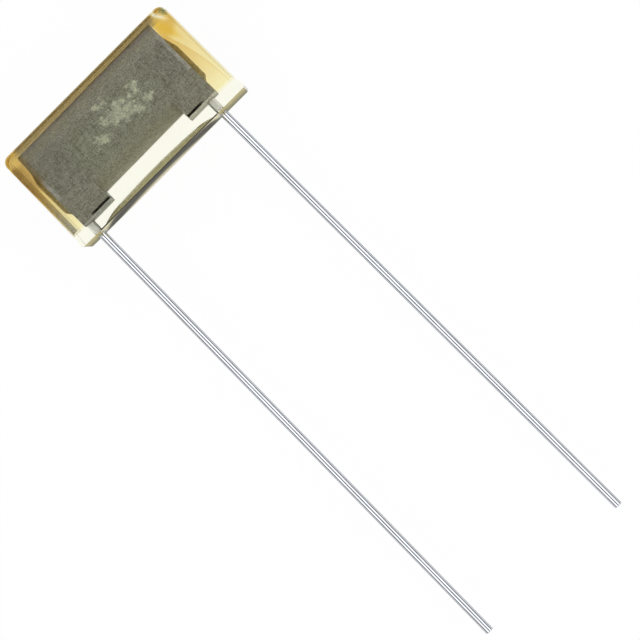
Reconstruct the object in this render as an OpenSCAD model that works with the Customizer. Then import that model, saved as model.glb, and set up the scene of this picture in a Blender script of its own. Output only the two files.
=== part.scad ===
// Box film capacitor: a flat wound element cast in a small block of clear amber resin, with two long
// straight leads. It lies on its large back face: X runs along the block, -Y is the way the leads
// leave, and Z is the thickness. The origin is the middle of the whole part's footprint.

/* [Leads] */
// Distance between the two leads where they leave the block
pitch = 10.2; // [8.4:0.1:12.4]
// Diameter of a lead
lead_d = 0.5; // [0.4:0.05:0.6]
// Length of a lead outside the block
lead_len = 33.1; // [5:0.1:40]
// Angle at which each lead leans outwards, in degrees
splay = 0.45; // [0:0.05:1]
// How much wider than the wire its coined end is, inside the block
coin_spread = 0.04; // [0:0.02:0.1]
// How much thinner than the wire its coined end is
coin_press = 0.12; // [0:0.02:0.2]
// Clearance between a lead's end and the wound element
lead_gap = 0.1; // [0.08:0.02:0.3]
// How far the pair of leads sits off the block's middle
lead_shift = -0.4; // [-0.5:0.05:0.5]

/* [Casting] */
// How far the block reaches past each lead's line, at its closed end
end_reach = 1.5; // [1.25:0.05:2.5]
// Height of the block, from its lead face to its closed end
block_h = 7.0; // [5.8:0.05:9]
// Thickness of the block at the lead face
block_t = 3.9; // [3.2:0.05:6]
// Draft of the mould on each wall, in degrees
draft = 0.55; // [0:0.05:1]
// Radius of the two corners at the closed end
corner_r = 0.5; // [0.3:0.05:1]
// Radius of the long edges
edge_r = 0.1; // [0.05:0.01:0.2]
// Radius of the two corners at the lead face
mouth_r = 0.25; // [0.1:0.05:0.5]
// Height of the flared lip at the lead face
lip_h = 0.8; // [0.4:0.05:1]
// How far the lip stands out at each end of the block
lip_out = 0.1; // [0:0.01:0.2]

/* [Lead face hollow] */
// Depth of the dished hollow that the resin left between the leads
hollow_depth = 0.52; // [0.4:0.02:0.6]
// How much of that depth the hollow's long middle arc takes
hollow_rise = 0.11; // [0.05:0.01:0.15]
// Length of the hollow's steep end beside each lead
hollow_end = 1.55; // [1:0.05:1.9]
// Flat land that the hollow leaves along the front and back edges
hollow_land = 0.08; // [0.04:0.02:0.3]
// Clearance between the hollow's end and each lead
hollow_gap = 0.05; // [0.02:0.01:0.2]

/* [Wound element] */
// How far the wound element reaches past each lead's line
element_reach = 0.45; // [0.35:0.01:0.6]
// Resin between the lead face and the wound element
low_wall = 1.5; // [1.25:0.05:2.5]
// Resin between the wound element and the closed end
top_wall = 0.3; // [0.25:0.01:0.8]
// Resin over each face of the wound element, at the lead face
face_wall = 0.45; // [0.35:0.01:1]
// How far the wound element sits off the block's middle
element_shift = -0.27; // [-0.3:0.01:0.3]
// Angle at which the wound element lies in the block, in degrees
element_turn = 0.6; // [-0.8:0.1:0.8]

/* [End spray] */
// Thickness of the sprayed metal on each end of the roll
spray_t = 0.25; // [0.1:0.05:0.4]
// How far the solder mass stands out past the sprayed metal
bulge_out = 0.27; // [0.1:0.01:0.35]
// Distance from the element's lowest line up to the solder mass
bulge_low = 0.45; // [0.2:0.05:0.8]
// Distance from the solder mass up to the element's highest line
bulge_high = 1.15; // [0.4:0.05:1.6]
// Length of the solder mass's lower slope
bulge_foot = 0.35; // [0.1:0.05:0.6]
// Length of the solder mass's upper slope
bulge_ramp = 0.95; // [0.3:0.05:1.2]
// Distance from the solder mass to each face of the element
bulge_side = 0.35; // [0.25:0.05:0.7]

/* [Contact clips] */
// Length of a contact clip along X
clip_len = 2.25; // [1.6:0.05:3]
// How far a clip reaches below the wound element
clip_drop = 0.6; // [0.45:0.05:0.9]
// Height of the slot in a clip's front
slot_h = 0.14; // [0.08:0.01:0.2]
// Height of the lip below that slot
slot_lip = 0.15; // [0.1:0.01:0.25]
// Depth of the slot
slot_depth = 0.7; // [0.3:0.05:0.8]
// Metal between the slot's end and the lead's coined end
slot_stop = 0.27; // [0.1:0.01:0.5]

/* [Insulating film] */
// Thickness of the folded film
film_t = 0.06; // [0.03:0.01:0.08]
// Resin between the film's pouch and the block's ends and closed end
film_gap = 0.1; // [0.06:0.01:0.15]
// How far the film reaches below the wound element
film_drop = 0.5; // [0.2:0.05:0.6]

/* [Hidden] */
$fn = 96;

// Below, y is measured from the lead face, and place() moves it to the part's own origin.
mid_y = (block_h - lead_len * cos(splay)) / 2;
lean = tan(draft);
half_top = pitch / 2 + end_reach;
half_lip = half_top + (block_h - lip_h) * lean;
half_mouth = half_lip + lip_out;
front_drop = 2 * block_h * lean;
lead_z = block_t / 2;
element_len = pitch + 2 * element_reach;
element_h = block_h - low_wall - top_wall;
element_t = block_t - 2 * face_wall;
roll_low = low_wall;
roll_r = element_t / 2;
roll_len = element_len - 2 * spray_t;
coined_w = lead_d + coin_spread;
coined_t = lead_d - coin_press;
coined_len = roll_low - lead_gap;
clip_low = roll_low - clip_drop;
film_low = roll_low - film_drop;
notch_half = element_len / 2 - clip_len;
slot_low = clip_low + slot_lip;
over = 1;
edge_proud = edge_r / 10;

module place() {
    translate([0, -mid_y, 0]) children();
}

// The wound element and all that is fixed to it lie in the block at a slight angle.
module lay_element() {
    translate([element_shift, roll_low + element_h / 2, lead_z])
        rotate([0, 0, element_turn])
            translate([0, -roll_low - element_h / 2, -lead_z]) children();
}

// Draws a 2D outline given in (y, z) and extrudes it along X between two places.
module along_x(from, to) {
    translate([from, 0, 0])
        rotate([90, 0, 90])
            linear_extrude(height = to - from) children();
}

// ---------- casting ----------

// The drafted outline of the block, or of what lies at an even distance inside it, from a given foot
// up to the closed end with its two round corners.
module tapered_outline(inset = 0, foot = 0) {
    r = corner_r - inset;
    cx = half_top + corner_r * lean - corner_r / cos(draft);
    cy = block_h - corner_r;
    edge_x = cx + r * cos(draft);
    edge_y = cy + r * sin(draft);
    foot_x = edge_x + (edge_y - foot) * lean;
    polygon([[-foot_x, foot], [foot_x, foot], [edge_x, edge_y], [cx, cy + r], [-cx, cy + r],
             [-edge_x, edge_y]]);
    for (side = [-1, 1]) translate([side * cx, cy]) circle(r = r);
}

// Rounds the lead face's two corners off the outline.
module mouth_corners() {
    for (side = [-1, 1])
        scale([side, 1]) difference() {
            translate([half_mouth - mouth_r, -over]) square([mouth_r + over, mouth_r + over]);
            translate([half_mouth - mouth_r, mouth_r]) circle(r = mouth_r);
        }
}

module front_outline() {
    difference() {
        union() {
            tapered_outline();
            polygon([[-half_mouth, 0], [half_mouth, 0], [half_lip, lip_h], [-half_lip, lip_h]]);
        }
        mouth_corners();
    }
}

// A disc of radius r about Z whose rim is bowed across the thickness. At a depth of hollow_depth under
// its widest line the bow has reached the lands along the block's two edges.
module bowed_disc(r) {
    half = block_t / 2 - hollow_land;
    bow_r = (pow(half, 2) + pow(hollow_depth, 2)) / (2 * hollow_depth);
    rotate_extrude($fn = 360) intersection() {
        translate([r - bow_r, 0]) circle(r = bow_r);
        translate([0, -bow_r]) square([r, 2 * bow_r]);
    }
}

// A slice of such a disc between two angles from +Y.
module bowed_slice(r, from, to) {
    reach = 2 * r;
    intersection() {
        bowed_disc(r);
        translate([0, 0, -block_t]) linear_extrude(height = 2 * block_t)
            polygon([[0, 0], [reach * sin(from), reach * cos(from)],
                     [reach * sin(to), reach * cos(to)]]);
    }
}

// Between the leads the resin's surface is dished: a long flat arc turns down steeply by each lead on
// a tighter arc that is tangent to it, and both bow in across the thickness.
module lead_face_hollow() {
    half = (pitch - lead_d) / 2 - hollow_gap;
    flat = half - hollow_end;
    arc_y = hollow_depth - hollow_rise;
    flat_r = (pow(flat, 2) + pow(hollow_rise, 2)) / (2 * hollow_rise);
    slope = asin(flat / flat_r);
    end_r = (pow(hollow_end, 2) + pow(arc_y, 2))
        / (2 * (arc_y * cos(slope) - hollow_end * sin(slope)));
    translate([lead_shift, 0, lead_z]) {
        translate([0, hollow_depth - flat_r, 0]) bowed_slice(flat_r, -slope, slope);
        for (side = [-1, 1])
            translate([side * (flat - end_r * sin(slope)), arc_y - end_r * cos(slope), 0])
                bowed_slice(end_r, side * slope, side * 60);
    }
}

// The block from its end: the back face is level, and the front face falls towards the closed end.
module end_outline() {
    fall = front_drop / block_h;
    tilt = atan(fall);
    polygon([[-over, 0], [block_h - edge_r, 0], [block_h, edge_r],
             [block_h, block_t - front_drop - edge_r],
             [block_h - edge_r, block_t - front_drop + fall * edge_r],
             [-over, block_t + fall * over]]);
    translate([block_h - edge_r, edge_r]) circle(r = edge_r);
    translate([block_h - edge_r, block_t - front_drop + fall * edge_r - edge_r / cos(tilt)])
        circle(r = edge_r);
}

// The block from its lead face, with its four long edges rounded. It stands proud of both faces, so
// the rounds cross them at an angle.
module long_edges() {
    x = half_mouth - edge_r;
    low = edge_r - edge_proud;
    high = block_t - low;
    translate([-x, -edge_proud]) square([2 * x, block_t + 2 * edge_proud]);
    translate([-half_mouth, low]) square([2 * half_mouth, high - low]);
    for (side = [-1, 1], level = [low, high]) translate([side * x, level]) circle(r = edge_r);
}

module block() {
    intersection() {
        translate([0, 0, -over]) linear_extrude(height = block_t + 2 * over) front_outline();
        along_x(-half_mouth - over, half_mouth + over) end_outline();
        translate([0, block_h + over, 0])
            rotate([90, 0, 0]) linear_extrude(height = block_h + 2 * over) long_edges();
    }
}

module dished_block() {
    difference() {
        block();
        lead_face_hollow();
    }
}

module resin_casting() {
    color([0.93, 0.8, 0.45, 0.4])
        place() difference() {
            dished_block();
            film_shape();
            lay_element() {
                roll_shape(element_len);
                for (side = [-1, 1]) {
                    bulge_shape(side);
                    clip_shape(side);
                }
            }
            for (side = [-1, 1]) lead_shape(side);
        }
}

// ---------- wound element ----------

// The pressed roll's outline in (y, z), grown outwards by a layer of the given thickness.
module roll_outline(layer = 0) {
    r = roll_r + layer;
    for (y = [roll_low + roll_r, roll_low + element_h - roll_r]) translate([y, lead_z]) circle(r = r);
    translate([roll_low + roll_r, lead_z - r]) square([element_h - 2 * roll_r, 2 * r]);
}

module roll_shape(length) {
    along_x(-length / 2, length / 2) roll_outline();
}

module wound_roll() {
    color([0.45, 0.44, 0.38]) place() lay_element() roll_shape(roll_len);
}

// ---------- end spray ----------

// The solder mass swells out of the sprayed end: steep at its foot, with a long slope at its top.
module bulge_shape(side) {
    x = side * element_len / 2;
    out = x + side * bulge_out;
    top = element_h - bulge_high;
    translate([0, roll_low, lead_z - roll_r + bulge_side])
        linear_extrude(height = element_t - 2 * bulge_side)
            polygon([[x, bulge_low], [out, bulge_low + bulge_foot], [out, top - bulge_ramp],
                     [x, top]]);
}

module end_spray(side) {
    color([0.42, 0.4, 0.32]) place() lay_element() {
        x = side * (element_len - spray_t) / 2;
        along_x(x - spray_t / 2, x + spray_t / 2) roll_outline();
        bulge_shape(side);
    }
}

module end_spray_left() { end_spray(-1); }
module end_spray_right() { end_spray(1); }

// ---------- contact clips ----------

// A tinned clip cradles each lower corner of the element, and its front is slotted beside the lead.
module clip_shape(side) {
    outer = side * element_len / 2;
    inner = side * notch_half;
    slot_end = side * (pitch / 2 - coined_w / 2 - slot_stop);
    difference() {
        along_x(min(outer, inner), max(outer, inner))
            translate([clip_low, lead_z - roll_r]) square([clip_drop + roll_r, element_t]);
        along_x(min(outer, inner) - over, max(outer, inner) + over) roll_outline();
        translate([min(slot_end, inner - side * over), slot_low, lead_z + roll_r - slot_depth])
            cube([abs(slot_end - inner) + over, slot_h, slot_depth + over]);
    }
}

module contact_clip(side) {
    color([0.5, 0.5, 0.45]) place() difference() {
        lay_element() clip_shape(side);
        lead_shape(side);
    }
}

module contact_clip_left() { contact_clip(-1); }
module contact_clip_right() { contact_clip(1); }

// ---------- insulating film ----------

// One amber sheet is folded into a flat pouch that follows the block's walls, and the element stands
// in it between its two faces. Both faces are notched between the clips.
module film_shape() {
    difference() {
        translate([0, 0, lead_z - roll_r - film_t])
            linear_extrude(height = element_t + 2 * film_t) tapered_outline(film_gap, film_low);
        translate([0, 0, lead_z - roll_r])
            linear_extrude(height = element_t) tapered_outline(film_gap + film_t, film_low - over);
        translate([element_shift - notch_half, film_low - over, 0])
            cube([2 * notch_half, film_drop + over, block_t]);
    }
}

module insulating_film() {
    color([0.85, 0.62, 0.2, 0.5]) place() film_shape();
}

// ---------- leads ----------

// A round wire leans slightly outwards, and its end inside the block is coined to a flat bar.
module lead_shape(side) {
    translate([lead_shift + side * pitch / 2, 0, lead_z]) rotate([0, 0, side * splay]) {
        rotate([90, 0, 0]) cylinder(d = lead_d, h = lead_len);
        translate([-coined_w / 2, 0, -coined_t / 2]) cube([coined_w, coined_len, coined_t]);
    }
}

module lead_wire(side) {
    color([0.78, 0.79, 0.8]) place() lead_shape(side);
}

module lead_wire_left() { lead_wire(-1); }
module lead_wire_right() { lead_wire(1); }

resin_casting();
insulating_film();
wound_roll();
end_spray_left();
end_spray_right();
contact_clip_left();
contact_clip_right();
lead_wire_left();
lead_wire_right();
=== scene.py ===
"""Box film capacitor: a pressed film roll cast in clear amber resin, with two long tinned leads.

The part's own frame has X along the block, -Y the way the leads leave and Z up through the block's
thickness. Sizes are in millimetres and become metres where a mesh, a lamp or the camera is made. In
meshes and materials, places along Y are measured from the lead face.
"""

import bpy
import numpy as np
from mathutils import Matrix, Vector


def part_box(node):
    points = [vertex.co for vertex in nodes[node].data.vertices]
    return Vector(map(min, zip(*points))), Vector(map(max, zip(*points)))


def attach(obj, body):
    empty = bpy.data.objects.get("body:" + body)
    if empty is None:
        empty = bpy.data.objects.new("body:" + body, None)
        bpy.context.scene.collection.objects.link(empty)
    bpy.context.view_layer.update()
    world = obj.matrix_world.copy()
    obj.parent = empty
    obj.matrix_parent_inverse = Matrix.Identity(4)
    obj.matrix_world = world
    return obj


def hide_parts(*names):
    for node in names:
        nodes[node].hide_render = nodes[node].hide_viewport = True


MM = 0.001

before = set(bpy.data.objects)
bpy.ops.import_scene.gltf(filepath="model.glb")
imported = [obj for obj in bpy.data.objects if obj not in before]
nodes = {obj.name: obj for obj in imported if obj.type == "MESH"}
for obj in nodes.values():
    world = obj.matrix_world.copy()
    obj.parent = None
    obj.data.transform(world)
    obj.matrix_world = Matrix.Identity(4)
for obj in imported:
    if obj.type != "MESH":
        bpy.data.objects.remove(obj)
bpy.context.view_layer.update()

# ---------- sizes of the part ----------

casting_low, casting_high = (np.array(corner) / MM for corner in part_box("resin_casting"))
FACE_Y = casting_low[1]
BLOCK_H = casting_high[1] - FACE_Y
BLOCK_T = 3.9
MIDDLE_Z = BLOCK_T / 2
HALF_TOP = 6.6              # half the block's length at its closed end
DRAFT = np.radians(0.55)    # lean of the moulded walls
CORNER_R = 0.5              # the closed end's corners
EDGE_R = 0.02               # the long edges
FACE_EDGE_R = 0.01          # the same edges at the lead face
EDGE_GROWS_FROM = 0.02      # height at which they start to grow from one to the other
EDGE_GROWS_OVER = 0.6       # and over which they do
EDGE_HOLD = 0.01            # flat strip kept beside each edge
MOUTH_R = 0.25              # corners at the mould's mouth
LIP_H = 0.8                 # flare at the mould's mouth
LIP_OUT = 0.1

HOLLOW_DEPTH = 0.52         # sink of the lead face between the leads
HOLLOW_RISE = 0.11          # rise of its long flat arc
HOLLOW_END = 1.55           # length of the tighter arc beside each lead
HOLLOW_LAND = 0.08          # flat strip left at both faces
HOLLOW_SOFT = 0.02          # softness of its run-out
HOLLOW_SOFT_LEN = 0.3       # fading over this length beside each lead

PITCH = 10.2
LEAD_SHIFT = -0.4           # the leads' middle off the block's
LEAD_R = 0.25
LEAD_LEN = 33.1             # outside the block
SPLAY = np.radians(0.45)
COINED_W = 0.54             # the flat bar pressed at the end inside the block
COINED_T = 0.38
COINED_LEN = 1.4
COINED_GAP = 0.02           # by which the visible bar is shorter
PRESS_LEN = 0.35            # from round to flat
CUT_LEN = 0.035             # round of the cut tip, along the wire
CUT_DROP = 0.03             # and across it

ELEMENT_LEN = 11.1          # roll with its sprayed ends
ELEMENT_END = ELEMENT_LEN / 2
ELEMENT_H = 5.2
ELEMENT_SHIFT = -0.27       # its middle off the block's
ELEMENT_TURN = np.radians(0.6)
ROLL_LOW = 1.5
ROLL_HIGH = ROLL_LOW + ELEMENT_H
ROLL_R = 1.5                # half its thickness
CLIP_LEN = 2.25             # reach of each clip along the element
NOTCH_HALF = ELEMENT_END - CLIP_LEN
SLOT_LOW, SLOT_HIGH = 1.05, 1.21
SLOT_END = 4.56             # where each clip's slot ends, from the leads' middle

FILM_LOW = 1.0
FILM_GAP = 0.05             # to the block's walls
FILM_OFF = 0.015            # to the roll
FILM_T = 0.04
FOLD_R = 0.15


# ---------- meshes ----------

def add_object(name, data):
    """A new object in the scene, at the origin."""
    made = bpy.data.objects.new(name, data)
    bpy.context.scene.collection.objects.link(made)
    return made


def make_piece(name, points, quads, caps=(), sharp=None):
    """A mesh from points in millimetres, four-sided faces and many-sided closing faces. The faces'
    corners lie one after the other in one row, and each face has its start and its length there.
    Edges that turn by more than sharp degrees aren't shaded smooth."""
    points = np.asarray(points, float).reshape(-1, 3) + [0, FACE_Y, 0]
    quads = np.asarray(quads, np.int32).reshape(-1, 4)
    corners = np.concatenate([quads.ravel(), *caps]).astype(np.int32)
    totals = np.concatenate([np.full(len(quads), 4), [len(cap) for cap in caps]]).astype(np.int32)
    starts = np.concatenate([[0], np.cumsum(totals)[:-1]]).astype(np.int32)
    mesh = bpy.data.meshes.new(name)
    mesh.vertices.add(len(points))
    mesh.vertices.foreach_set("co", (points * MM).astype(np.float32).ravel())
    mesh.loops.add(len(corners))
    mesh.loops.foreach_set("vertex_index", corners)
    mesh.polygons.add(len(totals))
    mesh.polygons.foreach_set("loop_start", starts)
    mesh.polygons.foreach_set("loop_total", totals)
    mesh.polygons.foreach_set("use_smooth", np.ones(len(totals), bool))
    mesh.update(calc_edges=True)
    mesh.validate()
    if sharp is not None:
        mesh.set_sharp_from_angle(angle=np.radians(sharp))
    return add_object(name, mesh)


def tube_faces(rings, around):
    """Faces between closed rings of as many points each: a point, the next one on its ring, and the
    same two on the following ring, where the last point's neighbour is the first."""
    ring, step = np.meshgrid(np.arange(rings - 1), np.arange(around), indexing="ij")
    here = ring * around + step
    beside = ring * around + (step + 1) % around
    return np.stack([here, beside, beside + around, here + around], -1).reshape(-1, 4)


def arc(cx, cy, r, start, end, count):
    """Points on a circle's arc, evenly from one angle to another in degrees."""
    angle = np.radians(np.linspace(start, end, count))
    return np.stack([cx + r * np.cos(angle), cy + r * np.sin(angle)], -1)


def between(start, end, count):
    """Points along a straight line, cut into count - 1 even steps, without its two ends."""
    return np.linspace(start, end, count)[1:-1]


def ease(share):
    """3 s^2 - 2 s^3, held between 0 and 1, which starts and ends level."""
    share = np.clip(share, 0, 1)
    return share * share * (3 - 2 * share)


def corner_middle():
    """The middle of the closed end's right corner, whose arc touches the top and the leaning wall."""
    cx = HALF_TOP + CORNER_R * np.tan(DRAFT) - CORNER_R / np.cos(DRAFT)
    return cx, BLOCK_H - CORNER_R


def hollow_line(drop, count):
    """The lead face between the leads, from right to left: a long flat arc that turns down by each lead
    on a tighter arc tangent to it. Both radii are shorter by drop away from the middle of the
    thickness. The height y becomes (y + sqrt(y^2 + soft^2)) / 2, so that the hollow runs out softly
    into the flat face."""
    half = PITCH / 2 - LEAD_R
    flat = half - HOLLOW_END
    edge = HOLLOW_DEPTH - HOLLOW_RISE
    flat_r = (flat ** 2 + HOLLOW_RISE ** 2) / (2 * HOLLOW_RISE)
    slope = np.arcsin(flat / flat_r)
    end_r = (HOLLOW_END ** 2 + edge ** 2) / (2 * (edge * np.cos(slope) - HOLLOW_END * np.sin(slope)))
    x = np.linspace(half, -half, count)
    middle = HOLLOW_DEPTH - flat_r + np.sqrt((flat_r - drop) ** 2 - x ** 2)
    past = np.abs(x) - (flat - end_r * np.sin(slope))
    side = edge - end_r * np.cos(slope) + np.sqrt(np.clip((end_r - drop) ** 2 - past ** 2, 0, None))
    y = np.where(np.abs(x) < (flat_r - drop) * np.sin(slope), middle, side)
    soft = HOLLOW_SOFT * np.clip((half - np.abs(x)) / HOLLOW_SOFT_LEN, 0, 1)
    return np.stack([LEAD_SHIFT + x, (y + np.sqrt(y ** 2 + soft ** 2)) / 2], -1)


def block_outline(drop):
    """The block's outline in (x, y), anticlockwise from above, starting at the right of its hollow.
    The mouth's arc starts on the lead face and ends where it meets the lip's slanted side, and the
    left half is the right half mirrored."""
    half_lip = HALF_TOP + (BLOCK_H - LIP_H) * np.tan(DRAFT)
    half_mouth = half_lip + LIP_OUT
    cx, cy = corner_middle()
    tilt = np.arctan2(LIP_OUT, LIP_H)
    meets_lip = np.degrees(tilt - np.arccos(np.cos(tilt) - np.sin(tilt)))
    foot = half_mouth - MOUTH_R
    mouth = arc(foot, MOUTH_R, MOUTH_R, -90, meets_lip, count=12)
    corner = arc(cx, cy, CORNER_R, np.degrees(DRAFT), 90, count=18)
    lip = [half_lip, LIP_H]
    wall = between(lip, corner[0], count=12)
    top = between([cx, BLOCK_H], [-cx, BLOCK_H], count=60)
    hollow = hollow_line(drop, count=161)
    flat_right = between([hollow[0, 0], 0], [foot, 0], count=12)
    flat_left = between([-foot, 0], [hollow[-1, 0], 0], count=12)
    right = np.vstack([mouth, [lip], wall, corner])
    return np.vstack([flat_right, right, top, right[::-1] * [-1, 1], flat_left, hollow[::-1]])


def outline_normals(outline):
    """Outward directions of a closed anticlockwise line: the line from each point's neighbour before
    it to the one after it, turned a quarter to the right."""
    along = np.roll(outline, -1, 0) - np.roll(outline, 1, 0)
    out = np.stack([along[:, 1], -along[:, 0]], -1)
    return out / np.linalg.norm(out, axis=1)[:, None]


def resin_block():
    """The block's skin: its outline is carried up through the thickness, drawn in along a quarter
    round at both faces. The round is smaller at the lead face, and one more ring on each side of it
    keeps the flat faces flat. The back lies level, so the front takes both faces' draft. Away from
    the middle the hollow is shallower by an arc's drop, which leaves a flat strip at both faces."""
    half = BLOCK_T / 2 - HOLLOW_LAND
    bow_r = (half ** 2 + HOLLOW_DEPTH ** 2) / (2 * HOLLOW_DEPTH)
    fall = 2 * np.tan(DRAFT)
    plain = block_outline(BLOCK_T)
    grown = ease((plain[:, 1] - EDGE_GROWS_FROM) / EDGE_GROWS_OVER)
    round_r = FACE_EDGE_R + (EDGE_R - FACE_EDGE_R) * grown
    none = 0 * round_r
    past = round_r + EDGE_HOLD
    quarter = np.radians(np.linspace(0, 90, 9))

    def ring(outline, inset, rise, share):
        """The outline drawn in by inset, at a share of the way from rise above the back face to rise
        below the front face."""
        place = outline - outline_normals(outline) * inset[:, None]
        front = BLOCK_T - fall * place[:, 1]
        return np.column_stack([place, rise + (front - 2 * rise) * share])

    rounds = [(past, none)]
    rounds += [(round_r * (1 - np.sin(angle)), round_r * (1 - np.cos(angle))) for angle in quarter]
    rounds += [(none, past)]
    rings = [ring(plain, inset, rise, 0) for inset, rise in rounds]
    for share in between(0, 1, count=49):
        level = BLOCK_T * (share - 0.5)
        drop = bow_r - np.sqrt(bow_r ** 2 - level ** 2)
        rings.append(ring(block_outline(drop), none, round_r, share))
    rings += [ring(plain, inset, rise, 1) for inset, rise in rounds[::-1]]
    count = len(plain)
    caps = [np.arange(count)[::-1], (len(rings) - 1) * count + np.arange(count)]
    return make_piece("resin_block", rings, tube_faces(len(rings), count), caps)


def pouch_outline(inset):
    """The pouch's line in (x, y): up its left wall, round the closed end's two corners and down its
    right wall. It keeps an even distance from the block's own walls."""
    r = CORNER_R - FILM_GAP - inset
    cx, cy = corner_middle()
    corner = arc(cx, cy, r, np.degrees(DRAFT), 90, count=14)
    foot_x = corner[0, 0] + (corner[0, 1] - FILM_LOW) * np.tan(DRAFT)
    wall = np.linspace([foot_x, FILM_LOW], corner[0], 24)[:-1]
    top = between([cx, cy + r], [-cx, cy + r], count=60)
    right = np.vstack([wall, corner])
    return np.vstack([right, top, right[::-1] * [-1, 1]])[::-1]


def film_pouch():
    """The folded film as a flat pouch: a section of inset and height is carried along the pouch's
    line. Its quarter rounds turn the front face over into narrow walls and these into the back face.
    Both faces end in a straight cut that is notched between the clips."""
    half = ROLL_R + FILM_OFF + FILM_T
    quarter = np.radians(np.linspace(0, 90, 7))
    front_fold = [(FOLD_R - FOLD_R * np.sin(angle), half - FOLD_R + FOLD_R * np.cos(angle))
                  for angle in quarter]
    wall = [(0, z) for z in between(half - FOLD_R, FOLD_R - half, count=12)]
    back_fold = [(inset, -z) for inset, z in front_fold[::-1]]
    rings = []
    for inset, z in front_fold + wall + back_fold:
        line = pouch_outline(inset)
        rings.append(np.column_stack([line, np.full(len(line), MIDDLE_Z + z)]))
    rings = np.array(rings)
    index = np.arange(rings.size // 3).reshape(rings.shape[:2])
    faces = np.stack([index[:-1, :-1], index[:-1, 1:], index[1:, 1:], index[1:, :-1]], -1)
    right, left = ELEMENT_SHIFT + NOTCH_HALF, ELEMENT_SHIFT - NOTCH_HALF
    notch = [(right, FILM_LOW), (right, ROLL_LOW), (left, ROLL_LOW), (left, FILM_LOW)]
    front, back = ([(x, y, MIDDLE_Z + z) for x, y in notch] for z in (half, -half))
    points = np.vstack([rings.reshape(-1, 3), front, back])
    front_at, back_at = index.size + np.arange(8).reshape(2, 4)
    caps = [np.concatenate([index[0], front_at])[::-1], np.concatenate([index[-1], back_at])]
    pouch = make_piece("film_pouch", points, faces, caps, sharp=45)
    sheet = pouch.modifiers.new("film", "SOLIDIFY")
    sheet.thickness = FILM_T * MM
    sheet.offset = -1
    return pouch


def lead(side, name):
    """A round wire along its own line, pressed to a flat bar where it ends inside the block. Its
    section is a rounded box, |x / wide|^p + |z / thick|^p = 1, whose sides change along the wire and
    whose power p goes from 2, which is round, to 6."""
    tip = -LEAD_LEN + np.array([0, 0.012, CUT_LEN])
    t = np.concatenate([tip, np.linspace(-LEAD_LEN + 0.1, 0, 120), np.linspace(0.05, PRESS_LEN, 8),
                        np.linspace(PRESS_LEN + 0.05, COINED_LEN - COINED_GAP, 8)])
    press = ease(t / PRESS_LEN)
    cut = CUT_DROP * (1 - np.clip((t + LEAD_LEN) / CUT_LEN, 0, 1)) ** 2
    wide = LEAD_R + (COINED_W / 2 - LEAD_R) * press - cut
    thick = LEAD_R + (COINED_T / 2 - LEAD_R) * press - cut
    power = 2 / (2 + 4 * press)
    around = np.linspace(0, 2 * np.pi, 48, endpoint=False)
    c, s = np.cos(around), np.sin(around)
    across = wide[:, None] * np.sign(c) * np.abs(c) ** power[:, None]
    height = thick[:, None] * np.sign(s) * np.abs(s) ** power[:, None]
    lean = side * SPLAY
    x = LEAD_SHIFT + side * PITCH / 2 + across * np.cos(lean) - t[:, None] * np.sin(lean)
    y = across * np.sin(lean) + t[:, None] * np.cos(lean)
    points = np.stack([x, y, MIDDLE_Z + height], -1)
    count = len(around)
    faces = tube_faces(len(t), count)[:, ::-1]
    caps = [np.arange(count), (len(t) - 1) * count + np.arange(count)[::-1]]
    return make_piece(name, points, faces, caps, sharp=50)


# ---------- materials ----------

def colour(red, green, blue):
    """An opaque colour."""
    return (red, green, blue, 1)


class Signal:
    """A socket in a material. Arithmetic on it adds the Math nodes that work it out."""

    def __init__(self, finish, socket):
        self.finish, self.socket = finish, socket

    def _math(self, operation, first, second):
        return self.finish.node("ShaderNodeMath", {"operation": operation}, {0: first, 1: second})

    def __add__(self, other):
        return self._math("ADD", self, other)

    __radd__ = __add__

    def __sub__(self, other):
        return self._math("SUBTRACT", self, other)

    def __rsub__(self, other):
        return self._math("SUBTRACT", other, self)

    def __mul__(self, other):
        return self._math("MULTIPLY", self, other)

    __rmul__ = __mul__

    def __truediv__(self, other):
        return self._math("DIVIDE", self, other)

    def __pow__(self, other):
        return self._math("POWER", self, other)

    def __abs__(self):
        return self._math("ABSOLUTE", self, 0)


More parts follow.
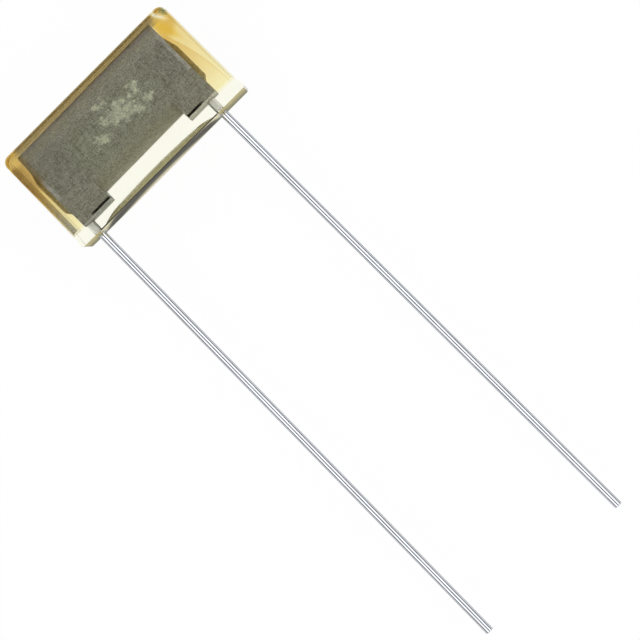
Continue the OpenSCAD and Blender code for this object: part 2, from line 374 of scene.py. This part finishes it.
class Finish:
    """One material and its nodes."""

    def __init__(self, name):
        self.material = bpy.data.materials.new(name)
        self.material.use_nodes = True
        self.tree = self.material.node_tree
        self.tree.nodes.clear()

    def node(self, kind, settings=None, sockets=None, out=0):
        """Adds a node, sets its settings, then its sockets to values or links, and gives one output."""
        made = self.tree.nodes.new(kind)
        for key, value in (settings or {}).items():
            setattr(made, key, value)
        for key, value in (sockets or {}).items():
            if isinstance(value, Signal):
                self.tree.links.new(value.socket, made.inputs[key])
            else:
                made.inputs[key].default_value = value
        return Signal(self, made.outputs[out])

    def here(self):
        """Where a point lies on the part, in millimetres, as one vector and as its x, its height from
        the lead face and its z."""
        place = self.node("ShaderNodeTexCoord", out="Object")
        place = self.node("ShaderNodeVectorMath", {"operation": "SCALE"}, {0: place, "Scale": 1 / MM})
        outputs = self.node("ShaderNodeSeparateXYZ", None, {0: place}).socket.node.outputs
        x, y, z = (Signal(self, outputs[axis]) for axis in range(3))
        return place, x, y - FACE_Y, z

    def noise(self, place, scale, detail, rough, stretch=None):
        """Fractal noise between 0 and 1, stretched along the part's axes."""
        if stretch:
            place = self.node("ShaderNodeMapping", None, {"Vector": place, "Scale": stretch})
        return self.node("ShaderNodeTexNoise", None, {
            "Vector": place, "Scale": scale, "Detail": detail, "Roughness": rough}, out="Fac")

    def ramp(self, value, low, high, smooth=True):
        """0 at low and beyond it, 1 at high and beyond it, and a smooth or an even change between
        them. Where low is the larger number, it falls as the value grows."""
        kind = "SMOOTHSTEP" if smooth else "LINEAR"
        return self.node("ShaderNodeMapRange", {"interpolation_type": kind},
                         {"Value": value, "From Min": low, "From Max": high})

    def either(self, first, second):
        """The higher of two values."""
        return self.node("ShaderNodeMath", {"operation": "MAXIMUM"}, {0: first, 1: second})

    def mix(self, factor, first, second):
        """A colour between two others: first at 0 and second at 1."""
        return self.node("ShaderNodeMix", {"data_type": "RGBA"},
                         {0: factor, 6: first, 7: second}, out=2)

    def bump(self, height, distance, strength):
        """A surface raised by height times a distance in millimetres."""
        return self.node("ShaderNodeBump", None,
                         {"Height": height, "Distance": distance * MM, "Strength": strength})

    def body(self, **sockets):
        """The all-round shader. A socket is named with low lines for its spaces."""
        return self.node("ShaderNodeBsdfPrincipled", None,
                         {name.replace("_", " "): value for name, value in sockets.items()})

    def tint(self, red, green, blue):
        """A layer that only tints what is seen through it."""
        return self.node("ShaderNodeBsdfTransparent", None, {"Color": colour(red, green, blue)})

    def lay(self, factor, under, over):
        """One shader laid over another by a factor from 0 to 1."""
        return self.node("ShaderNodeMixShader", None, {0: factor, 1: under, 2: over})

    def surface(self, shader, volume=None):
        """Ends the material in a surface, and in a volume for a piece with depth."""
        output = self.tree.nodes.new("ShaderNodeOutputMaterial")
        self.tree.links.new(shader.socket, output.inputs["Surface"])
        if volume is not None:
            self.tree.links.new(volume.socket, output.inputs["Volume"])
        return self.material


RESIN_IOR = 1.54
RESIN_YELLOW = colour(0.985, 0.97, 0.60)
RESIN_DENSITY = 70          # how strongly a metre of it would tint
RESIN_GLARE = colour(0.2, 0.2, 0.2)


def clear_resin():
    """Clear yellow resin. The lead face set with a skin that is dull and uneven in the hollow between
    the leads. Its colour there is painted: an olive tone for the block's inside seen through the
    hollow, and painted shade along the hollow's front and back edges. Beyond the leads it is a
    painted yellow-brown reflection of the film inside, darker towards the back face."""
    finish = Finish("clear_resin")
    place, x, high, z = finish.here()
    flow = finish.noise(place, 0.35, 2, 0.5)
    grit = finish.noise(place, 2.5, 3, 0.6)

    lead_side = PITCH / 2 - LEAD_R
    beside = abs(x - LEAD_SHIFT)
    off_front = finish.either(finish.ramp(z, BLOCK_T - 0.03, BLOCK_T - 0.05),
                              finish.ramp(high, 0.09, 0.04))
    hollow = (finish.ramp(high, HOLLOW_DEPTH + 0.14, HOLLOW_DEPTH + 0.08)
              * finish.ramp(beside, lead_side + 0.1, lead_side - 0.15)
              * finish.ramp(z, 0.0, 0.08) * off_front)
    ends = (finish.ramp(high, 0.05, 0.02) * finish.ramp(beside, lead_side - 0.05, lead_side + 0.15)
            * finish.ramp(z, 0.0, 0.2))
    # painted shade along the front and back edges of the hollow
    front_rim_shade = finish.ramp(z, BLOCK_T - 0.28, BLOCK_T - 0.02)
    back_rim_shade = finish.ramp(z, -0.05, 0.45) * finish.ramp(z, 1.9, 0.9)
    rim_shade = front_rim_shade + back_rim_shade
    near_front = finish.ramp(z, 2.6, 3.1)

    # in the hollow the glass is tinted towards the same painted olive
    glass = finish.body(
        Base_Color=finish.mix(hollow, colour(1.0, 0.998, 0.97), colour(0.9, 0.87, 0.66)),
        Roughness=hollow * (grit * 0.2 + 0.3) + 0.01, Specular_IOR_Level=0.25,
        Specular_Tint=RESIN_GLARE, IOR=RESIN_IOR, Transmission_Weight=1.0,
        Normal=finish.bump(flow, 0.02, 0.6))
    # painted olive tone for the block's inside seen through the hollow, going dark in the painted rim
    # shade
    dull = finish.mix(rim_shade, colour(0.98, 0.90, 0.52), colour(0.035, 0.03, 0.022))
    # painted reflection of the film inside, beyond the leads, darker towards the back face
    yellow = finish.mix(finish.ramp(z, 0.8, 3.4), colour(0.19, 0.165, 0.045), colour(0.50, 0.42, 0.15))
    skin = finish.body(Base_Color=finish.mix(ends, dull, yellow), Roughness=0.6)
    skinned = hollow * (rim_shade * 0.5 + 0.45 + near_front * 0.5) + ends * 0.95
    depth = finish.node("ShaderNodeVolumeAbsorption", None,
                        {"Color": RESIN_YELLOW, "Density": RESIN_DENSITY})
    return finish.surface(finish.lay(skinned, glass, skin), depth)


def film_finish():
    """Amber film, pale at its rim and deeper towards the closed end, with a fold line down its right
    end, x = fold_x - bend * (high - fold_high)^2. Its walls are browner, partly as film seen on edge
    through much more film and partly as painted shade. The face carries painted light: an orange
    glow, a highlight streak and dark reflected spots at the upper right, and brown painted shade at
    the upper left."""
    finish = Finish("amber_film")
    place, x, high, z = finish.here()
    cloud = finish.noise(place, 0.5, 2, 0.5, stretch=(1.6, 0.7, 1))
    right_end = ELEMENT_SHIFT + ELEMENT_END
    right = finish.ramp(x, right_end - 0.28, right_end - 0.08)
    beside = finish.ramp(abs(x - ELEMENT_SHIFT), ELEMENT_END - 0.02, ELEMENT_END + 0.05)

    # the face: pale, deeper upwards, less so past the fold
    fold_x, fold_high, bend = 6.32, 1.2, 0.045
    fold = (x + (high - fold_high) ** 2 * bend) - fold_x
    past = finish.ramp(fold, -0.02, 0.02) * right
    crease = finish.ramp(abs(fold), 0.05, 0.0) * right
    depth = finish.ramp(high, FILM_LOW - 0.05, BLOCK_H - 0.7, smooth=False) * (cloud * 0.6 + 0.7)
    depth = (depth - past * 0.5 * depth + crease * 0.22) * beside
    thin = finish.tint(1.0, 0.997, 0.975)
    face = finish.lay(beside, thin, finish.tint(0.999, 0.983, 0.885))
    face = finish.lay(depth, face, finish.tint(0.922, 0.827, 0.60))

    # tan at the upper right, an orange glow below it that is painted light, and brown painted shade at
    # the upper left
    glow_x, glow_high = right_end + 0.5, BLOCK_H - 1.15
    upper = finish.ramp(high + (6.0 - x) * 0.5, 5.3, 5.65) * right * beside
    glow = finish.ramp(abs(x - glow_x + (high - glow_high) * 0.3) * 1.2
                       + abs(high - glow_high) * 0.5, 0.75, 0.05)
    left = finish.ramp(x, -5.4, -5.7) * finish.ramp(high, 4.0, 4.8)
    face = finish.lay(upper * (cloud * 0.5 + 0.45), face, finish.tint(0.925, 0.83, 0.585))
    face = finish.lay(glow * 0.75, face, finish.tint(0.94, 0.84, 0.49))
    face = finish.lay(left * 0.62, face, finish.tint(0.795, 0.715, 0.55))

    # the walls, browner as film seen on edge and as painted shade: grey below, brown above, stronger
    # towards the left and front, lighter at the closed end
    wall_x = HALF_TOP - 0.4
    out = abs(x) + (high - BLOCK_H) * np.tan(DRAFT) - right * 0.2
    to_left, to_front = finish.ramp(x, 5.0, -5.0), finish.ramp(z, 2.6, 3.2)
    wall = (finish.ramp(out, wall_x - 0.02, wall_x + 0.02) * (to_left * 0.85 + 0.15)
            * (to_front * 0.8 + 0.2))
    end = (finish.ramp(high, BLOCK_H - 0.47, BLOCK_H - 0.40)
           * (1 - finish.ramp(x, right_end + 0.02, right_end + 0.52) * 0.75))
    thick = finish.either(wall, end)
    edge = finish.lay(finish.ramp(high, 1.2, 4.5) * (cloud * 0.4 + 0.7),
                      finish.tint(0.66, 0.665, 0.66), finish.tint(0.70, 0.60, 0.39))
    edge = finish.lay(finish.ramp(high, BLOCK_H - 0.5, BLOCK_H - 0.4), edge,
                      finish.tint(0.785, 0.737, 0.615))
    look = finish.lay(thick, face, edge)

    # amber at the upper left corner; at the upper right one a painted highlight streak and dark painted
    # reflections
    gleam_x, gleam_high = HALF_TOP - 0.62, BLOCK_H - 0.32
    dark_reflection_x, dark_reflection_high = HALF_TOP - 0.18, BLOCK_H - 0.30
    corner = finish.ramp((high - 6.9) * 0.4 - x - 5.72, -0.15, 0.1) * finish.ramp(high, 6.15, 6.45)
    gleam = (finish.ramp(abs((x - gleam_x) * 0.83 + (high - gleam_high) * 0.56), 0.16, 0.04)
             * finish.ramp(high, 6.2, 6.4) * right)
    dark_reflection = finish.ramp(abs(x - dark_reflection_x) + abs(high - dark_reflection_high), 0.45, 0.0)
    dark_reflection = finish.ramp(cloud * 0.6 + dark_reflection * 0.7, 0.6, 0.7) * right
    look = finish.lay(corner, look, finish.tint(0.935, 0.86, 0.645))
    look = finish.lay(gleam * 0.9, look, thin)
    look = finish.lay(dark_reflection, look, finish.tint(0.72, 0.72, 0.58))
    solid = finish.body(Base_Color=colour(0.8, 0.58, 0.25), Roughness=0.35)
    return finish.surface(finish.lay(thick * 0.08 + 0.01, look, solid))


def metal_grain(finish, place):
    """Fine dull grain of metal sprayed on film: two fine weaves across each other and a speckle."""
    along = finish.noise(place, 10.0, 1, 0.6, stretch=(1.0, 0.3, 1.0))
    across = finish.noise(place, 10.0, 1, 0.6, stretch=(0.25, 1.0, 1.0))
    speck = finish.noise(place, 14.0, 1, 0.5)
    return (along - 0.5) * 0.9 + (across - 0.5) * 0.8 + (speck - 0.5) * 1.8


def grained(finish, tone, grain, shade=0.55, dark=(0.05, 0.05, 0.05), bright=(0.95, 0.95, 0.9)):
    """A tone darkened where the grain is low and brightened where it is high."""
    return finish.mix(finish.ramp(grain, -0.5, 0.5, smooth=False),
                      finish.mix(shade, tone, colour(*dark)), finish.mix(0.3, tone, colour(*bright)))


# where the roll stayed dry: middle x and height, half width and height, lean, and what the noise
# has to exceed
DRY_PATCHES = (
    (0.8, 4.05, 1.5, 0.95, 0.9, 0.36),
    (-1.4, 3.8, 0.75, 0.5, 0, 0.42),
    (-0.2, 5.4, 0.9, 0.7, 0.5, 0.47),
    (2.1, 4.9, 0.55, 0.8, 0, 0.46),
    (2.1, 3.6, 0.7, 0.45, 0, 0.40),
    (-3.4, 6.1, 0.7, 0.25, 0, 0.50))


def roll_finish():
    """Dull metallized film: a fine grain, broad clouds, and pale dry patches where the impregnation
    did not wet it. A patch is noise less a share of the squared distance from its middle, counted in
    its own half widths. Painted reflections pale the tone towards the leads and the closed end,
    where the roll's edges round off, bluish at the closed end's edge, and near the closed end a thin
    line is the last turn's edge."""
    finish = Finish("wound_film")
    place, x, high, _ = finish.here()
    cloud = finish.noise(place, 0.4, 3, 0.55)
    rag = finish.noise(place, 2.2, 4, 0.65)
    spots = finish.noise(place, 4.5, 2, 0.6)

    def patch(cx, cy, wide, tall, lean, limit):
        dx, dy = x - cx, high - cy
        reach = ((dx + dy * lean) / wide) ** 2 + (dy / tall) ** 2
        return finish.ramp(rag - reach * 0.22, limit - 0.05, limit + 0.13)

    dry = patch(*DRY_PATCHES[0])
    for row in DRY_PATCHES[1:]:
        dry = finish.either(dry, patch(*row))
    shade = finish.ramp(abs(x - 0.4), 5.6, 1.0) * 0.62 + (cloud - 0.5) * 0.8
    tone = finish.mix(shade, colour(0.206, 0.205, 0.154), colour(0.298, 0.304, 0.222))
    green = finish.ramp(abs(x + 2.3) * 0.7 + abs(high - 3.9) * 0.5, 1.6, 0.2) * cloud
    # painted reflections on the roll's rounded edges: paler towards the leads and the closed end
    low_reflection = finish.ramp(high, ROLL_LOW + 1.6, ROLL_LOW + 0.1)
    low_edge_reflection = finish.ramp(high, ROLL_LOW + 0.4, ROLL_LOW)
    high_reflection = finish.ramp(high, ROLL_HIGH - 1.5, ROLL_HIGH - 0.4)
    high_edge_reflection = finish.ramp(high, ROLL_HIGH - 0.6, ROLL_HIGH - 0.2)
    turn_high, turn_lean = ROLL_HIGH - 0.48, 0.0105
    last_turn = finish.ramp(abs(high + x * turn_lean - turn_high), 0.035, 0.0)
    for mask, over in ((green * 0.5, (0.36, 0.40, 0.22)),
                       (dry * 0.95, (0.83, 0.88, 0.69)),
                       (finish.ramp(spots, 0.62, 0.7) * 0.4, (0.16, 0.16, 0.13)),
                       (low_reflection * 0.42, (0.87, 0.89, 0.80)),
                       (high_reflection * 0.42, (0.80, 0.82, 0.82)),
                       (low_edge_reflection * 0.6, (0.95, 0.96, 0.95)),
                       (high_edge_reflection * 0.55, (0.55, 0.62, 1.0)),
                       (last_turn * 0.3, (0.75, 0.75, 0.66))):
        tone = finish.mix(mask, tone, colour(*over))
    tone = grained(finish, tone, metal_grain(finish, place))
    return finish.surface(finish.body(Base_Color=tone, Roughness=0.45, Metallic=0.25))


def spray_finish():
    """Sprayed end metal: a gritty grey that lightens outwards and turns brownish where it swells past
    the element's ends."""
    finish = Finish("end_spray")
    place, x, *_ = finish.here()
    grit = finish.noise(place, 4.0, 4, 0.7)
    grain = metal_grain(finish, place) + (grit - 0.5) * 0.6
    from_middle = abs(x - ELEMENT_SHIFT)
    out = finish.ramp(from_middle, ELEMENT_END - 0.03, ELEMENT_END + 0.07)
    near_edge = finish.ramp(from_middle, ELEMENT_END - 0.35, ELEMENT_END - 0.13)
    front = finish.mix(near_edge, colour(0.37, 0.37, 0.35), colour(0.60, 0.60, 0.61))
    tone = finish.mix(out, front, colour(0.70, 0.63, 0.44))
    tone = grained(finish, tone, grain, dark=(0.05, 0.05, 0.04), bright=(0.95, 0.93, 0.85))
    return finish.surface(finish.body(Base_Color=tone, Roughness=0.6, Metallic=0.2,
                                      Normal=finish.bump(grit, 0.06, 0.8)))


def clip_finish():
    """Tinned strip with painted shade in its slot, and below it a lip painted bright as painted light,
    palest on the right.
    """
    finish = Finish("contact_clip")
    place, x, high, _ = finish.here()
    high = high - x * np.tan(ELEMENT_TURN)
    # painted light on the lip below the slot, palest on the right, and painted shade darkening the slot
    # cut in the clip
    lip = finish.ramp(high, SLOT_LOW + 0.03, SLOT_LOW - 0.05)
    slot = (finish.ramp(high, SLOT_LOW - 0.03, SLOT_LOW + 0.03)
            * finish.ramp(high, SLOT_HIGH + 0.03, SLOT_HIGH - 0.03)
            * finish.ramp(abs(x - LEAD_SHIFT), SLOT_END + 0.06, SLOT_END - 0.06))
    bright = finish.mix(finish.ramp(x, 0, 1), colour(0.56, 0.56, 0.46), colour(1.0, 1.0, 0.86))
    tone = finish.mix(lip, colour(0.275, 0.27, 0.208), bright)
    tone = grained(finish, tone, metal_grain(finish, place), shade=0.5)
    tone = finish.mix(slot, tone, colour(0.04, 0.038, 0.03))
    return finish.surface(finish.body(Base_Color=tone, Roughness=0.45, Metallic=0.3))


def wire_finish():
    """Tinned copper wire with faint lines drawn along it, duller inside the resin and with painted
    shade there on its inner side."""
    finish = Finish("tinned_wire")
    place, x, high, _ = finish.here()
    draw = finish.noise(place, 6.0, 3, 0.6, stretch=(1.0, 0.06, 1.0))
    blot = finish.noise(place, 1.5, 3, 0.6, stretch=(1.0, 0.5, 1.0))
    inside = finish.ramp(high, 0.0, 0.2)
    # painted shade on each lead's inner side inside the resin
    inner = inside * finish.ramp(abs(x - LEAD_SHIFT), PITCH / 2 - 0.12, PITCH / 2 - 0.18)
    tone = finish.mix(draw, colour(0.60, 0.62, 0.655), colour(0.74, 0.76, 0.785))
    tone = finish.mix(inside, tone, colour(1.0, 1.0, 1.0))
    tone = finish.mix(inner * 0.8, tone, colour(0.30, 0.30, 0.27))
    tone = finish.mix(finish.ramp(blot, 0.55, 0.75) * 0.25, tone, colour(0.55, 0.56, 0.56))
    return finish.surface(finish.body(
        Base_Color=tone, Roughness=draw * 0.06 + 0.05 + inside * 0.35, Metallic=1.0,
        Specular_Tint=colour(0.15, 0.16, 0.18), Normal=finish.bump(draw, 0.006, 0.6)))


def card_finish():
    """White card: most of what is seen of it is its own even white, and the rest is lit, so that the
    part's shadow stays."""
    finish = Finish("white_card")
    rays = finish.node("ShaderNodeLightPath").socket.node.outputs
    camera, gloss, through = (Signal(finish, rays[name]) for name in (
        "Is Camera Ray", "Is Glossy Ray", "Is Transmission Ray"))
    seen = finish.ramp(camera + gloss + through, 0, 1, smooth=False)
    card = finish.node("ShaderNodeBsdfDiffuse", None, {"Color": colour(0.95, 0.95, 0.945)})
    white = finish.node("ShaderNodeEmission", None, {"Color": colour(1, 1, 1), "Strength": 1.0})
    return finish.surface(finish.lay(seen * 0.96, card, white))


# ---------- the part ----------

def dress(piece, material):
    """Gives a piece its one material."""
    piece.data.materials.clear()
    piece.data.materials.append(material)


def stand_in(piece, node, material):
    """Dresses a new piece and lets it stand for a node of the frame."""
    dress(piece, material)
    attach(piece, "root")
    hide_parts(node)


stand_in(resin_block(), "resin_casting", clear_resin())
stand_in(film_pouch(), "insulating_film", film_finish())
dress(nodes["wound_roll"], roll_finish())
wire, spray, clip = wire_finish(), spray_finish(), clip_finish()
for side, end in ((-1, "left"), (1, "right")):
    stand_in(lead(side, "tinned_lead_" + end), "lead_wire_" + end, wire)
    dress(nodes["end_spray_" + end], spray)
    dress(nodes["contact_clip_" + end], clip)

# ---------- floor, light and camera ----------

CARD_HALF = 1500
CARD_DROP = 0.02            # below the part, so that their faces don't lie in one plane
card_mesh = bpy.data.meshes.new("white_card")
corners = np.array([(-1, -1), (1, -1), (1, 1), (-1, 1)]) * CARD_HALF
card_mesh.from_pydata([(x * MM, y * MM, -CARD_DROP * MM) for x, y in corners], [], [(0, 1, 2, 3)])
card = add_object("white_card", card_mesh)
dress(card, card_finish())

# two long softboxes along the leads, one on each side, with a gap above the part between them
LAMP_HIGH = 300
LAMP_LONG = 2400
LAMP_FROM, LAMP_TO = np.radians(16), np.radians(56)     # off the upright, as the part sees them
RADIANCE = 1.15
POWER_PER_AREA = 4 * RADIANCE                           # what that takes in a flat lamp
inner_x, outer_x = LAMP_HIGH * np.tan(LAMP_FROM), LAMP_HIGH * np.tan(LAMP_TO)
for side in (-1, 1):
    lamp = bpy.data.lights.new("softbox", "AREA")
    lamp.shape = "RECTANGLE"
    lamp.size, lamp.size_y = (outer_x - inner_x) * MM, LAMP_LONG * MM
    lamp.energy = POWER_PER_AREA * lamp.size * lamp.size_y
    holder = add_object("softbox", lamp)
    holder.location = (side * (inner_x + outer_x) / 2 * MM, 0, LAMP_HIGH * MM)

world = bpy.data.worlds.new("room")
world.use_nodes = True
room = world.node_tree.nodes["Background"].inputs
room["Color"].default_value = colour(0.225, 0.23, 0.245)
room["Strength"].default_value = 1.0

# the camera looks almost straight down, turned so that the leads run off to the lower right
TARGET = Vector((0.11, 0.25, MIDDLE_Z)) * MM
EYE = TARGET + Vector((7.4, 0.0, 152.0)) * MM
VIEW_UP = Vector((0.7044, 0.7098, 0))
LENS = 143.9
look = (TARGET - EYE).normalized()
up = (VIEW_UP - VIEW_UP.dot(look) * look).normalized()
right = look.cross(up)
camera_data = bpy.data.cameras.new("camera")
camera_data.lens = LENS
camera_data.sensor_width = 36
camera_data.clip_start = 0.01
camera_data.clip_end = 10
camera = add_object("camera", camera_data)
camera.matrix_world = Matrix((
    (right.x, up.x, -look.x, EYE.x), (right.y, up.y, -look.y, EYE.y),
    (right.z, up.z, -look.z, EYE.z), (0, 0, 0, 1)))

scene = bpy.context.scene
scene.world = world
scene.camera = camera
scene.view_settings.view_transform = "Standard"
